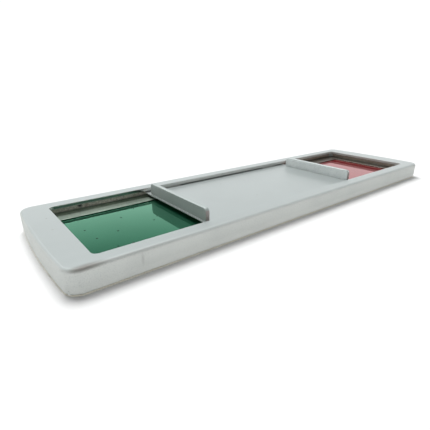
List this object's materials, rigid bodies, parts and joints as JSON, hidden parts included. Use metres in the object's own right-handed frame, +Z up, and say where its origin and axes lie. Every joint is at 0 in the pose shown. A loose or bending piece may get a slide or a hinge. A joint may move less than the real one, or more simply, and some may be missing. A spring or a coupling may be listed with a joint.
{
  "type": "pill counting tray",
  "caption": "Slim lipped tray with a glossy green well and a glossy red well, and a sliding cover plate with an upright finger bar near each end that hides half of the opening.",
  "frame": {"origin": "middle of the tray's underside, on the surface it rests on", "axes": "+X along the tray from the green well to the red well and along the slide's travel, +Y across the tray, +Z up"},
  "size_m": [0.2226, 0.0638, 0.0118],
  "materials": {
    "frame_metal": "satin, light cool grey, finely brushed along the top, fine grain on the sides",
    "slide_metal": "satin, light cool grey",
    "mask_sheet": "matt light grey",
    "green_gloss": "polished, mirror gloss",
    "red_gloss": "polished, mirror gloss",
    "felt": "dense dark brown felt",
    "foam": "closed-cell foam, black",
    "base_metal": "mill finish sheet",
    "screw_steel": "plain steel",
    "pad_rubber": "matt cream rubber",
    "glide_plastic": "natural white nylon",
    "spacer_plastic": "black"
  },
  "bodies": {
    "tray": {"top_frame": "frame_metal", "window_mask": "mask_sheet", "green_panel": "green_gloss", "red_panel": "red_gloss", "centre_spacer": "spacer_plastic", "green_foam_pad": "foam", "red_foam_pad": "foam", "base_plate": "base_metal", "base_screws": "screw_steel", "base_pad": "pad_rubber", "far_felt_strip": "felt", "near_felt_strip": "felt", "left_felt_strip": "felt", "right_felt_strip": "felt"},
    "slider": {"slide_plate": "slide_metal", "left_finger_bar": "slide_metal", "right_finger_bar": "slide_metal", "far_left_glide": "glide_plastic", "far_right_glide": "glide_plastic", "near_left_glide": "glide_plastic", "near_right_glide": "glide_plastic"}
  },
  "joints": [
    {"name": "slider_travel", "type": "slide", "parent": "tray", "child": "slider", "axis": [1, 0, 0], "range_m": [-0.0446, 0.0549]}
  ]
}
